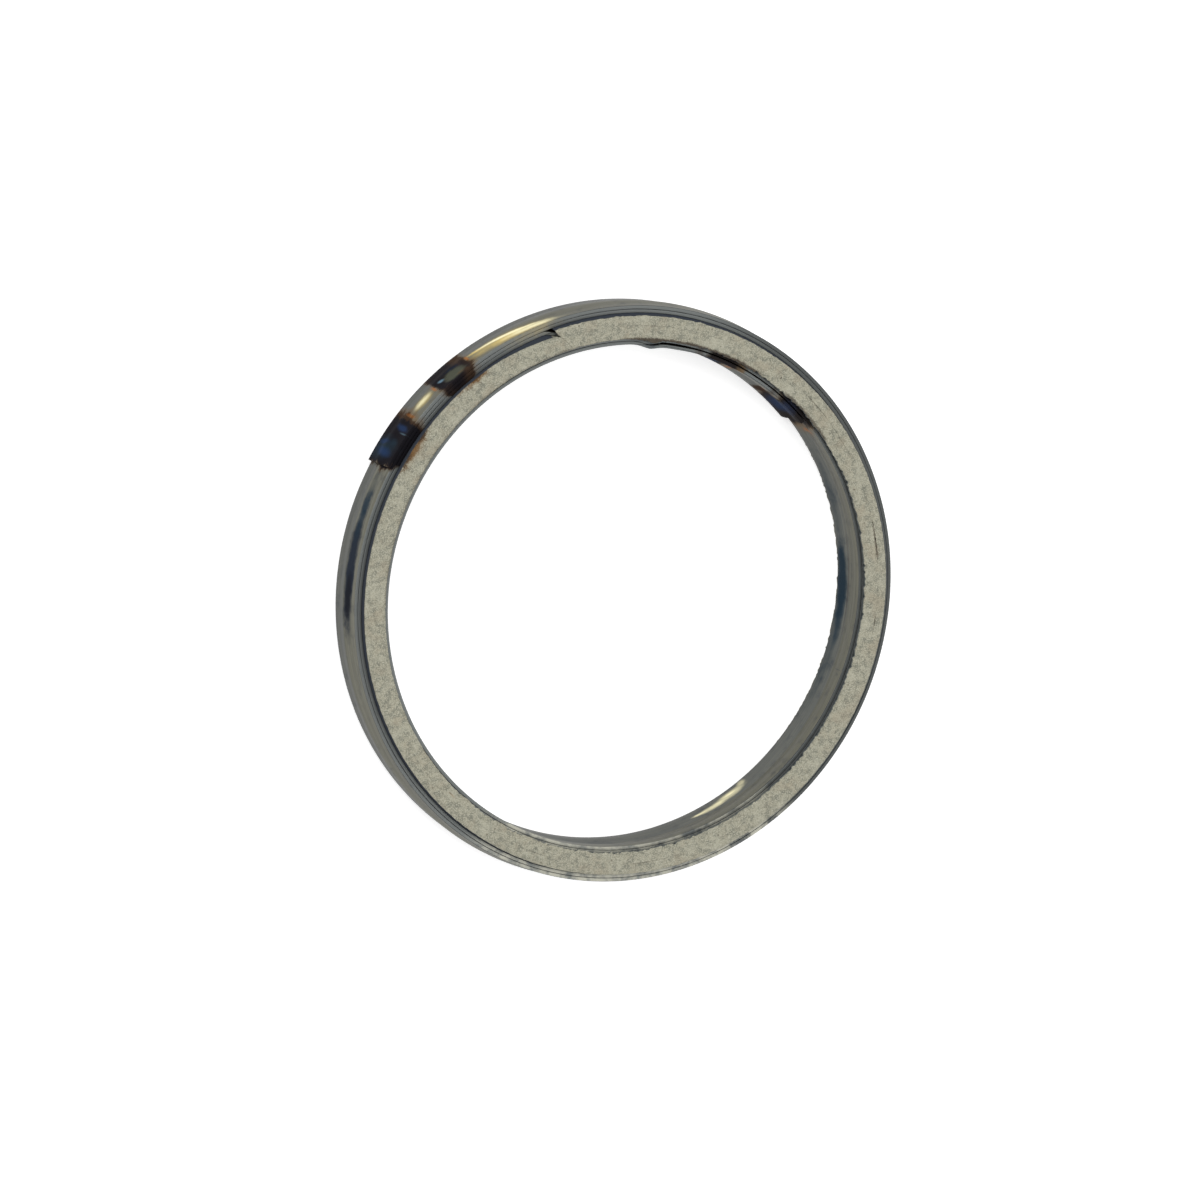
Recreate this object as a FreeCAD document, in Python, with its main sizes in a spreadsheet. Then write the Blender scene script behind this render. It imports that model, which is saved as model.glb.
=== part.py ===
import FreeCAD, Part
import Sketcher
import math
import os

from FreeCAD import Placement, Rotation, Vector

# A spiral-wound exhaust gasket, lying on its face with its axis along +Z.
# A chevron steel strip is wound on itself for two bare turns, takes a strip of soft filler in for two
# turns, and ends in two bare turns outside.  Spot welds hold the steel to itself at both of its ends.
# All lengths are in millimetres and all angles in degrees.

SIZES = (
    ("bore_radius", 19.2, "inner face of the first full turn"),
    ("strip_thickness", 0.265, "sheet steel of the winding"),
    ("strip_width", 4.0, "steel strip along the axis"),
    ("ridge_half_width", 1.25, "mid-height to the flat flange of the chevron"),
    ("ridge_height", 0.16, "chevron's apex outside its flanges"),
    ("turn_clearance", 0.02, "play between neighbouring turns"),
    ("filler_thickness", 0.62, "filler strip across the wall"),
    ("filler_width", 5.3, "filler strip along the axis, which is the overall thickness"),
    ("filler_lip", 0.12, "how far the filler's face flares over the steel's edge"),
    ("filler_tip", 0.06, "filler left at its feathered inner end"),
    ("joggle_arc", 20.0, "angle in which a turn climbs over a filler end"),
    ("filler_start_angle", 108.0, "place of both filler ends round the ring"),
    ("lead_angle", 66.0, "steel before the first full turn"),
    ("lead_step", 0.15, "how far the steel's first end springs inwards"),
    ("kink_angle", 28.0, "kink of the first end, before the first full turn"),
    ("kink_arc", 8.0, "length of that kink"),
    ("tail_angle", 44.0, "steel after the last full turn"),
    ("weld_radius", 0.8, "nugget of a spot weld, between two turns"),
    ("weld_sink", 0.05, "how deep the nugget's ends lie in the two turns"),
    ("press_radius", 1.6, "electrode's face at an outer weld"),
    ("press_depth", 0.03, "how far it pressed the ridge flat"),
    ("inner_weld_near", 62.0, "inner weld beside the steel's first end, before the first full turn"),
    ("inner_weld_far", 38.0, "second inner weld"),
    ("outer_weld_far", 21.5, "outer weld, after the last full turn"),
    ("outer_weld_near", 38.5, "outer weld beside the steel's last end"),
)

BARE_TURNS = 2
FILLED_TURNS = 2
FULL_TURN = 360.0
HALF_TURN = 180.0
WEDGE_SECTIONS = 6


def make_sheet(doc):
    sheet = doc.addObject("Spreadsheet::Sheet", "Sizes")
    for row, (alias, value, note) in enumerate(SIZES, start=1):
        sheet.set("A%d" % row, note)
        sheet.set("B%d" % row, str(value))
        sheet.setAlias("B%d" % row, alias)
    doc.recompute()
    return sheet


class Winding:
    """The plan of the spiral, in the frame whose +X axis passes the filler's ends.

    Angles run on from turn to turn and are zero where the filler starts.  Every half turn is an arc, and
    the arcs' centres alternate about the axis, so that neighbouring turns are true offsets of each other.
    """

    def __init__(self, sheet):
        self.sheet = sheet
        self.pitch = sheet.strip_thickness + sheet.turn_clearance
        self.climb = sheet.filler_thickness + sheet.turn_clearance
        self.strip_start = -(BARE_TURNS - 1) * FULL_TURN - sheet.lead_angle
        self.strip_stop = (FILLED_TURNS + BARE_TURNS) * FULL_TURN + sheet.tail_angle
        self.filler_stop = FILLED_TURNS * FULL_TURN
        self.joggles = {turn * FULL_TURN: (self.climb, sheet.joggle_arc)
                        for turn in range(1, FILLED_TURNS + 1)}
        kink = -(BARE_TURNS - 1) * FULL_TURN - sheet.kink_angle
        self.joggles[kink] = (sheet.lead_step, sheet.kink_arc)

    def centre(self, angle):
        odd = math.floor(angle / HALF_TURN) % 2
        return Vector((1 if odd else -1) * self.pitch / 4, 0, 0)

    def radius(self, angle):
        """Radius of the strip's inner face about its own arc's centre, outside the joggles."""
        half_turns = math.floor(angle / HALF_TURN) + 2 * (BARE_TURNS - 1)
        climbed = sum(rise for start, (rise, arc) in self.joggles.items() if angle >= start + arc)
        return (self.sheet.bore_radius - self.sheet.lead_step + self.pitch / 4
                + half_turns * self.pitch / 2 + climbed)

    def path(self, offset, start, stop):
        """Edges of the line that lies offset outside the strip's inner face."""
        edges = []
        angle = start
        while angle < stop:
            centre = self.centre(angle)
            radius = self.radius(angle) + offset
            if angle in self.joggles:
                rise, arc = self.joggles[angle]
                edges += joggle(centre, radius, rise, angle, arc)
                angle += arc
                continue
            corners = [(math.floor(angle / HALF_TURN) + 1) * HALF_TURN, stop]
            corners += [place for place in self.joggles if place > angle]
            reach = min(corners)
            edges.append(arc_edge(centre, radius, angle, reach))
            angle = reach
        return edges


def direction(angle):
    return Vector(math.cos(math.radians(angle)), math.sin(math.radians(angle)), 0)


def arc_edge(centre, radius, start, stop):
    circle = Part.Circle(centre, Vector(0, 0, 1), radius)
    return Part.ArcOfCircle(circle, math.radians(start), math.radians(stop))


def bend_radius(radius, rise, arc):
    """Radius of the bend that ends a joggle: it meets the straight span and the raised turn smoothly."""
    cosine = math.cos(math.radians(arc))
    return (radius - (radius + rise) * cosine) / (1 - cosine)


def joggle(centre, radius, rise, angle, arc):
    """A straight span that leaves the turn as its tangent, and a bend on to the raised turn."""
    bend = bend_radius(radius, rise, arc)
    pivot = centre + direction(angle + arc) * (radius + rise - bend)
    span = Part.LineSegment(centre + direction(angle) * radius, pivot + direction(angle) * bend)
    return [span, arc_edge(pivot, bend, angle, angle + arc)]


def size(name):
    return "Sizes." + name


EDGE_HEIGHT = "(Sizes.strip_width / 2 + Sizes.turn_clearance)"


def chevron(face):
    """Section points of one chevron face: lower flange, apex away from the bore, upper flange."""
    return [(face, "-Sizes.ridge_half_width"), (face + " + Sizes.ridge_height", "0"),
            (face, "Sizes.ridge_half_width")]


def origin_plane(body, role):
    return next(plane for plane in body.Origin.OriginFeatures if plane.Role == role)


def plan_sketch(body, name, edges):
    """A line in the ring's middle plane, made of arcs and straight spans that meet end to end."""
    sketch = body.newObject("Sketcher::SketchObject", name)
    sketch.AttachmentSupport = [(origin_plane(body, "XY_Plane"), "")]
    sketch.MapMode = "FlatFace"
    sketch.addGeometry(edges, False)
    return sketch


def section_sketch(body, name, place, angle, points):
    """A closed section in the upright plane through the axis at angle, with its own origin at place.

    Its points are pairs of expressions.
    """
    sketch = body.newObject("Sketcher::SketchObject", name)
    sketch.AttachmentSupport = [(origin_plane(body, "XZ_Plane"), "")]
    sketch.MapMode = "FlatFace"
    sketch.AttachmentOffset = Placement(Vector(place.x, 0, -place.y), Rotation(Vector(0, 1, 0), angle))
    corners = [Vector(number(body, x), number(body, z), 0) for x, z in points]
    for index, corner in enumerate(corners):
        sketch.addGeometry(Part.LineSegment(corner, corners[(index + 1) % len(corners)]), False)
    for index, corner in enumerate(corners):
        before = (index - 1) % len(corners)
        sketch.addConstraint(Sketcher.Constraint("Coincident", before, 2, index, 1))
        for kind, value, formula in (("DistanceX", corner.x, points[index][0]),
                                     ("DistanceY", corner.y, points[index][1])):
            bound = sketch.addConstraint(Sketcher.Constraint(kind, -1, 1, index, 1, value))
            sketch.setExpression("Constraints[%d]" % bound, formula)
    return sketch


def number(owner, formula):
    return float(owner.evalExpression(formula))


def make_body(doc, label):
    body = doc.addObject("PartDesign::Body", label)
    body.Label = label
    body.Placement = Placement(Vector(0, 0, 0), Rotation(Vector(0, 0, 1), 1))
    body.setExpression("Placement.Rotation.Angle", size("filler_start_angle"))
    body.setExpression("Placement.Base.z", "Sizes.filler_width / 2")
    return body


def sweep(body, name, section, line, edge_count):
    pipe = body.newObject("PartDesign::AdditivePipe", name)
    pipe.Profile = section
    pipe.Spine = (line, ["Edge%d" % (index + 1) for index in range(edge_count)])
    pipe.Mode = "Standard"
    return pipe


def strip_section():
    inner, outer = "0", size("strip_thickness")
    low, high = "-Sizes.strip_width / 2", "Sizes.strip_width / 2"
    return ([(inner, low)] + chevron(inner) + [(inner, high), (outer, high)]
            + chevron(outer)[::-1] + [(outer, low)])


def filler_section():
    """The filler lies between two steel turns and flares over their edges above and below them."""
    inner, outer = "0", size("filler_thickness")
    lip_in, lip_out = "-Sizes.filler_lip", "Sizes.filler_thickness + Sizes.filler_lip"
    low, high = "-Sizes.filler_width / 2", "Sizes.filler_width / 2"
    rise = [(lip_in, low), (inner, "-" + EDGE_HEIGHT)]
    rise += chevron(inner) + [(inner, EDGE_HEIGHT), (lip_in, high)]
    fall = [(lip_out, high), (outer, EDGE_HEIGHT)]
    fall += chevron(outer)[::-1] + [(outer, "-" + EDGE_HEIGHT), (lip_out, low)]
    return rise + fall


def wedge_section(thickness):
    inner, outer = "0", "%.6f" % thickness
    low, high = "-Sizes.filler_width / 2", "Sizes.filler_width / 2"
    return ([(inner, low)] + chevron(inner) + [(inner, high), (outer, high)]
            + chevron(outer)[::-1] + [(outer, low)])


def round_sketch(body, name, place, angle, radius):
    """A circle on the upright plane that faces outwards at angle, with its centre at place."""
    sketch = body.newObject("Sketcher::SketchObject", name)
    sketch.AttachmentSupport = [(origin_plane(body, "YZ_Plane"), "")]
    sketch.MapMode = "FlatFace"
    sketch.AttachmentOffset = Placement(Vector(place.y, 0, place.x), Rotation(Vector(0, 1, 0), angle))
    circle = sketch.addGeometry(Part.Circle(Vector(0, 0, 0), Vector(0, 0, 1), number(body, radius)))
    sketch.addConstraint(Sketcher.Constraint("Coincident", circle, 3, -1, 1))
    bound = sketch.addConstraint(Sketcher.Constraint("Radius", circle, number(body, radius)))
    sketch.setExpression("Constraints[%d]" % bound, radius)
    return sketch


def weld(body, name, plan, angle, radius, gap):
    """A spot weld's nugget, from the turn whose inner face is at radius to the turn outside it."""
    start = radius + plan.sheet.ridge_height + plan.sheet.weld_sink
    sketch = round_sketch(body, name + "Spot", plan.centre(angle) + direction(angle) * start, angle,
                          size("weld_radius"))
    nugget = body.newObject("PartDesign::Pad", name)
    nugget.Profile = sketch
    nugget.setExpression("Length", "Sizes.strip_thickness + Sizes.turn_clearance + " + gap)


def flatten_ridge(body, name, plan, angle):
    """The electrode's flat on the ridge, which a plane leaves as a lens."""
    sheet = plan.sheet
    level = plan.radius(angle) + sheet.strip_thickness + sheet.ridge_height - sheet.press_depth
    sketch = round_sketch(body, name + "Press", plan.centre(angle) + direction(angle) * level, angle,
                          size("press_radius"))
    flat = body.newObject("PartDesign::Pocket", name + "Flat")
    flat.Profile = sketch
    flat.Reversed = True
    flat.setExpression("Length", size("ridge_height"))


def make_winding_strip(doc, plan):
    """One steel strip from its sprung first end to its last end, with four spot welds."""
    sheet = plan.sheet
    body = make_body(doc, "winding_strip")
    edges = plan.path(0, plan.strip_start, plan.strip_stop)
    line = plan_sketch(body, "StripLine", edges)
    start = plan.centre(plan.strip_start) + direction(plan.strip_start) * plan.radius(plan.strip_start)
    section = section_sketch(body, "StripSection", start, plan.strip_start, strip_section())
    sweep(body, "StripTurns", section, line, len(edges))
    doc.recompute()
    first_turn = -(BARE_TURNS - 1) * FULL_TURN
    last_turn = (FILLED_TURNS + BARE_TURNS) * FULL_TURN
    for name, back in (("InnerWeldNear", sheet.inner_weld_near), ("InnerWeldFar", sheet.inner_weld_far)):
        angle = first_turn - back
        weld(body, name, plan, angle, plan.radius(angle), "Sizes.lead_step")
    for name, on in (("OuterWeldFar", sheet.outer_weld_far), ("OuterWeldNear", sheet.outer_weld_near)):
        angle = last_turn + on
        weld(body, name, plan, angle, plan.radius(angle) - plan.pitch, "0")
        flatten_ridge(body, name, plan, angle)
    return body


def make_filler_strip(doc, plan):
    """One filler strip: a feathered inner end under the climbing steel, then two turns to a blunt end."""
    sheet = plan.sheet
    body = make_body(doc, "filler_strip")
    first = sheet.joggle_arc
    offset = plan.pitch
    edges = plan.path(offset, first, plan.filler_stop)
    line = plan_sketch(body, "FillerLine", edges)
    centre = plan.centre(first)
    inner = plan.radius(first) + offset
    place = centre + direction(first) * inner
    section = section_sketch(body, "FillerSection", place, first, filler_section())
    sweep(body, "FillerTurns", section, line, len(edges))
    doc.recompute()

    tip_radius = inner + sheet.turn_clearance + sheet.filler_tip
    tip = math.degrees(math.acos(inner / tip_radius))
    wedge = []
    for index in range(WEDGE_SECTIONS):
        angle = tip + (first - tip) * index / (WEDGE_SECTIONS - 1)
        thickness = climbing_radius(inner, plan.climb, first, angle) - sheet.turn_clearance - inner
        wedge.append(section_sketch(body, "FeatherSection%d" % index, centre + direction(angle) * inner,
                                    angle, wedge_section(thickness)))
    feather = body.newObject("PartDesign::AdditiveLoft", "FeatheredEnd")
    feather.Profile = wedge[-1]
    feather.Sections = wedge[-2::-1]
    feather.Ruled = False
    return body


def climbing_radius(radius, rise, arc, angle):
    """How far from the arc's centre a joggling turn lies at angle after the joggle's start."""
    bend = bend_radius(radius, rise, arc)
    reach = radius + rise - bend
    if reach * math.sin(math.radians(arc)) > radius * math.tan(math.radians(angle)):
        return radius / math.cos(math.radians(angle))
    turn = math.radians(arc - angle)
    return reach * math.cos(turn) + math.sqrt(bend ** 2 - (reach * math.sin(turn)) ** 2)


def check(doc, bodies):
    faults = ["%s: %s" % (item.Name, item.State) for item in doc.Objects
              if "Invalid" in item.State or "Error" in item.State]
    for body in bodies:
        shape = body.Shape
        if shape.isNull() or not shape.isValid() or len(shape.Solids) != 1:
            faults.append("%s is not one valid solid" % body.Label)
    if faults:
        raise RuntimeError("; ".join(faults))


def main():
    doc = FreeCAD.newDocument("ExhaustGasket")
    plan = Winding(make_sheet(doc))
    bodies = [make_winding_strip(doc, plan), make_filler_strip(doc, plan)]
    doc.recompute()
    check(doc, bodies)
    os.makedirs("parts", exist_ok=True)
    for body in bodies:
        body.Shape.exportStep(os.path.join("parts", body.Label + ".step"))


main()
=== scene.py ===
"""Models a spiral-wound exhaust gasket and the plain studio that it is shown in."""

import math
from collections import Counter

import bpy
from bpy.props import FloatProperty, FloatVectorProperty, PointerProperty
from mathutils import Matrix, Vector, noise


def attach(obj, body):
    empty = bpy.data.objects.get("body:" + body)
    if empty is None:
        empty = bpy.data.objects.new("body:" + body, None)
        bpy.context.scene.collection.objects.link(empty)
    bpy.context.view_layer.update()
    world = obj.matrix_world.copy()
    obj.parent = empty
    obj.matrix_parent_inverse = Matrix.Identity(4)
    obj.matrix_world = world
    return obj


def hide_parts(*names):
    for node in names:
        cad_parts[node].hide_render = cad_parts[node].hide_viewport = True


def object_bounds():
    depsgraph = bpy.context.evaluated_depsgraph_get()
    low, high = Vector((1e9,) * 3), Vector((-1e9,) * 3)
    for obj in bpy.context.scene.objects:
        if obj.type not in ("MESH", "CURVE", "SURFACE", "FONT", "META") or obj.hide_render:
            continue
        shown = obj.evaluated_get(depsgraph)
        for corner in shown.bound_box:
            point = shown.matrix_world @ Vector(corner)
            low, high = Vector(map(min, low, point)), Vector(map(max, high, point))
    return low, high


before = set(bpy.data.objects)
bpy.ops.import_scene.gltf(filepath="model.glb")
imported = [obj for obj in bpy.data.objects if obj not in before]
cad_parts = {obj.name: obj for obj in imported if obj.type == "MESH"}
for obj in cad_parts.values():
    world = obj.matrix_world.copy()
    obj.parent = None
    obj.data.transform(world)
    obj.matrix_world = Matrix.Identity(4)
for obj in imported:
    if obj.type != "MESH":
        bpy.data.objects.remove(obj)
CAD_BOX = [list(corner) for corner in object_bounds()]

bl_info = {
    "name": "Exhaust Gasket",
    "version": (1, 0, 0),
    "blender": (4, 5, 0),
    "location": "View3D > Sidebar > Gasket",
    "description": "A chevron steel strip wound on itself with a soft filler strip between its turns",
    "category": "Add Mesh",
}

MM = 0.001
HALF_TURN = math.pi
FULL_TURN = 2 * math.pi
FILLED_TURNS = 2
BARE_TURNS = 2
WHITE = (1.0, 1.0, 1.0, 1.0)


# Sizes and colours

def length(name, description, millimetres):
    return FloatProperty(name=name, description=description, default=millimetres * MM, min=0.0,
                         unit="LENGTH", precision=5)


def angle(name, description, degrees):
    return FloatProperty(name=name, description=description, default=math.radians(degrees),
                         subtype="ANGLE", unit="ROTATION")


def colour(name, description, red, green, blue):
    return FloatVectorProperty(name=name, description=description, default=(red, green, blue),
                               size=3, min=0.0, max=1.0, subtype="COLOR")


def share(name, description, default):
    return FloatProperty(name=name, description=description, default=default, min=0.0, max=1.0,
                         subtype="FACTOR")


class WindingSizes(bpy.types.PropertyGroup):
    bore_radius: length("Bore radius", "Inner face of the first full turn", 19.2)
    strip_thickness: length("Strip thickness", "Sheet steel of the winding", 0.265)
    strip_width: length("Strip width", "Steel strip along the axis", 4.0)
    ridge_half_width: length("Ridge half width", "Mid-height to the strip's flat flange", 1.25)
    ridge_height: length("Ridge height", "Apex of the chevron outside its flanges", 0.16)
    edge_round: length("Edge round", "Rounding of the strip's sheared edges", 0.02)
    edge_wave: length("Edge wave", "How far the strip's edges wander along the axis", 0.015)
    turn_clearance: length("Turn clearance", "Play between neighbouring turns", 0.02)
    lead_angle: angle("Lead", "Steel before the first full turn", 66.0)
    lead_step: length("Lead step", "How far the steel's first end springs inwards", 0.15)
    lead_close: length("Lead close", "How far that end is pressed back on to the turn", 0.07)
    kink_angle: angle("Kink", "Kink of the first end, before the first full turn", 28.0)
    kink_arc: angle("Kink arc", "Length of that kink", 8.0)
    tail_angle: angle("Tail", "Steel after the last full turn", 44.0)
    dent_place: angle("Dent", "Ring angle of the dent in the bare inner turns", 86.0)
    dent_reach: angle("Dent reach", "How far the dent spreads round the ring", 2.4)
    dent_depth: length("Dent depth", "How far the dent stands into the bore", 0.26)
    step: angle("Step", "Turn between two sections of the strip", 1.0)
    fine_step: angle("Fine step", "Turn between two sections beside the outer welds", 0.4)


class FillerSizes(bpy.types.PropertyGroup):
    thickness: length("Thickness", "Filler strip across the wall", 0.62)
    width: length("Width", "Filler strip along the axis", 5.3)
    lip_height: length("Lip slope", "Height of the spread filler's lower slope", 0.05)
    seam: length("Seam", "Half of the gap between the two filler turns where they meet", 0.004)
    crack: length("Crack", "Half of that gap where it stands open", 0.05)
    tip: length("Tip", "Filler left at its feathered inner end", 0.06)
    tip_spread: angle("Tip spread", "How far the pressed tip reaches back over the steel", 3.4)
    joggle_arc: angle("Joggle", "Angle in which a turn climbs over a filler end", 20.0)
    start_angle: angle("Ends", "Place of both filler ends round the ring", 108.0)
    end_slant: angle("End slant", "How far the blunt end leans across its thickness", 1.3)
    relief: length("Relief", "Depth of the pressed fibres on the faces", 0.03)
    ragged: length("Ragged edge", "How far the filler's torn edges wander", 0.2)
    corner: length("Corner", "How far the filler's worn corners sink", 0.05)
    step: angle("Step", "Turn between two sections of the filler", 0.5)


class WeldSizes(bpy.types.PropertyGroup):
    outer_far: angle("Outer far", "Ring angle of the first outer weld", 129.5)
    outer_near: angle("Outer near", "Ring angle of the outer weld beside the steel's last end", 146.5)
    press_depth: length("Press depth", "How far the electrode pressed the ridge flat", 0.05)
    press_rise: length("Press rise", "Middle of the pressed flat over mid-height", 0.65)
    press_height: length("Press height", "Half of the pressed flat along the axis", 0.9)


class SteelFinish(bpy.types.PropertyGroup):
    plain: colour("Plain", "Rolled steel away from the welds", 0.115, 0.113, 0.088)
    pale: colour("Pale", "Brighter streaks of the rolled steel", 0.17, 0.168, 0.14)
    # Painted shade: this colour draws the lower flank darker and blue-grey; it also tints the outer edges
    # over one stretch of ring angles.
    flank_shade_and_edge_blue: colour("Cool", "Lower flank, shaded blue-grey", 0.095, 0.104, 0.108)
    edge: colour("Edge", "Sheared edges of the strip", 0.20, 0.215, 0.215)
    # Painted shade in the narrow gaps between turns along the strip's edges; the same colour also draws one
    # thin dark line on the inner wall.
    gap: colour("Gap", "Shade between two turns", 0.03, 0.036, 0.05)
    # Painted highlights: bright glints on the strip's edges.
    bright: colour("Bright", "Glinting steel", 0.62, 0.61, 0.52)
    # Navy is a temper colour of the welds, and also paints a dark reflection band on the outer wall.
    navy: colour("Navy", "Dark blue temper", 0.014, 0.022, 0.04)
    blue: colour("Blue", "Blue temper", 0.022, 0.045, 0.11)
    # Slate is a temper colour of a weld, and also paints dark reflections on both walls.
    slate: colour("Slate", "Grey-blue temper", 0.022, 0.040, 0.058)
    ice: colour("Ice", "Pale blue temper", 0.17, 0.27, 0.34)
    # Soot darkens the hearts of the welds, and also part of a painted reflection band.
    soot_and_dark_reflection: colour("Soot", "Steel at the heart of a weld", 0.012, 0.012, 0.016)
    # Brown is a temper colour of the welds, and also paints shade along the inner wall's groove.
    brown: colour("Brown", "Brown temper", 0.045, 0.024, 0.014)
    umber: colour("Umber", "Pale brown temper", 0.14, 0.085, 0.035)
    orange: colour("Orange", "Orange temper", 0.34, 0.12, 0.02)
    # Painted highlights in straw-gold, on the outer wall.
    painted_gold_highlight: colour("Gold", "Straw temper", 0.62, 0.48, 0.17)
    # Painted highlights in pale cream, on both walls.
    painted_cream_highlight: colour("Cream", "Pale straw temper", 0.86, 0.80, 0.52)
    lens: colour("Lens", "Flat pressed by the electrode", 0.085, 0.09, 0.066)
    graze: colour("Graze", "How strongly the steel mirrors at a flat angle", 0.6, 0.6, 0.6)


class FillerFinish(bpy.types.PropertyGroup):
    fibre: colour("Fibre", "Pressed mineral fibre", 0.30, 0.288, 0.222)
    pale: colour("Pale", "Lighter mottles", 0.41, 0.40, 0.318)
    dull: colour("Dull", "Darker mottles", 0.17, 0.17, 0.135)
    warm: colour("Warm", "Warm stains", 0.30, 0.26, 0.19)
    speck: colour("Speck", "Brown and grey specks", 0.085, 0.07, 0.05)
    # Painted shade on the filler's sides: darker outside, lighter grey on the inner side.
    side: colour("Side", "Side of the filler, dark with steel dust", 0.035, 0.042, 0.055)
    dust: colour("Shadow", "The filler's inner side, grey with steel dust", 0.10, 0.115, 0.12)
    scorch: colour("Scorch", "Fibre burnt beside a weld", 0.14, 0.078, 0.03)
    char: colour("Char", "Fibre burnt dark at a weld", 0.03, 0.018, 0.012)


class StageSettings(bpy.types.PropertyGroup):
    camera_place: FloatVectorProperty(
        name="Camera place", description="Where the camera stands", size=3, subtype="TRANSLATION",
        unit="LENGTH", default=(-0.263163, 0.108764, 0.623630))
    camera_turn: FloatVectorProperty(
        name="Camera turn", description="Turn of the camera about X, Y and Z", size=3,
        subtype="EULER", unit="ROTATION",
        default=tuple(math.radians(part) for part in (-9.98910, -22.56035, 1.99729)))
    lens: FloatProperty(name="Lens", description="Focal length in millimetres", default=270.0)
    sensor: FloatProperty(name="Sensor", description="Sensor width in millimetres", default=36.0)
    floor_size: length("Floor", "Side of the square floor", 3000.0)
    world_light: share("World light", "Brightness of the room round the part", 0.62)
    floor_colour: colour("Floor colour", "Pale plain floor", 0.80, 0.80, 0.80)


# Shader maths

def feed(tree, socket, given):
    """Puts a number, a colour or a link on a socket."""
    given = getattr(given, "socket", given)
    if isinstance(given, bpy.types.NodeSocket):
        tree.links.new(given, socket)
    else:
        socket.default_value = given


def add_node(tree, kind, settings, inputs):
    """A node of the kind, with its settings made first and its sockets fed then."""
    node = tree.nodes.new(kind)
    for name, setting in settings.items():
        setattr(node, name, setting)
    for name, given in inputs.items():
        feed(tree, node.inputs[name], given)
    return node


class Value:
    """A shader number that takes part in Python arithmetic by adding Math nodes."""

    def __init__(self, paint, socket):
        self.paint = paint
        self.socket = socket

    def math(self, operation, *others, clamp=False):
        inputs = dict(enumerate((self,) + others))
        return self.paint.value("ShaderNodeMath", {"operation": operation, "use_clamp": clamp}, inputs)

    def __add__(self, other):
        return self.math("ADD", other)

    __radd__ = __add__

    def __sub__(self, other):
        return self.math("SUBTRACT", other)

    def __rsub__(self, other):
        return self * -1 + other

    def __mul__(self, other):
        return self.math("MULTIPLY", other)

    __rmul__ = __mul__

    def __truediv__(self, other):
        return self.math("DIVIDE", other)

    def clamped(self):
        return self.math("ADD", 0.0, clamp=True)

    def high(self, other):
        """The greater of the two."""
        return self.math("MAXIMUM", other)

    def size(self):
        """The number without its sign."""
        return self.math("ABSOLUTE")

    def root(self):
        return self.math("SQRT")

    def rest(self):
        """What the number holds past its next lower whole number."""
        return self.math("FRACT")

    def rise(self, start, stop):
        """Smooth step from 0 at start to 1 at stop."""
        settings = {"interpolation_type": "SMOOTHSTEP"}
        if start <= stop:
            ends = {"From Min": start, "From Max": stop, "To Min": 0.0, "To Max": 1.0}
        else:
            ends = {"From Min": stop, "From Max": start, "To Min": 1.0, "To Max": 0.0}
        return self.paint.value("ShaderNodeMapRange", settings, {"Value": self, **ends}, "Result")

    def band(self, start, stop, soft):
        """1 between start and stop, with soft edges outside them."""
        return self.rise(start - soft, start) * self.rise(stop + soft, stop)


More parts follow.
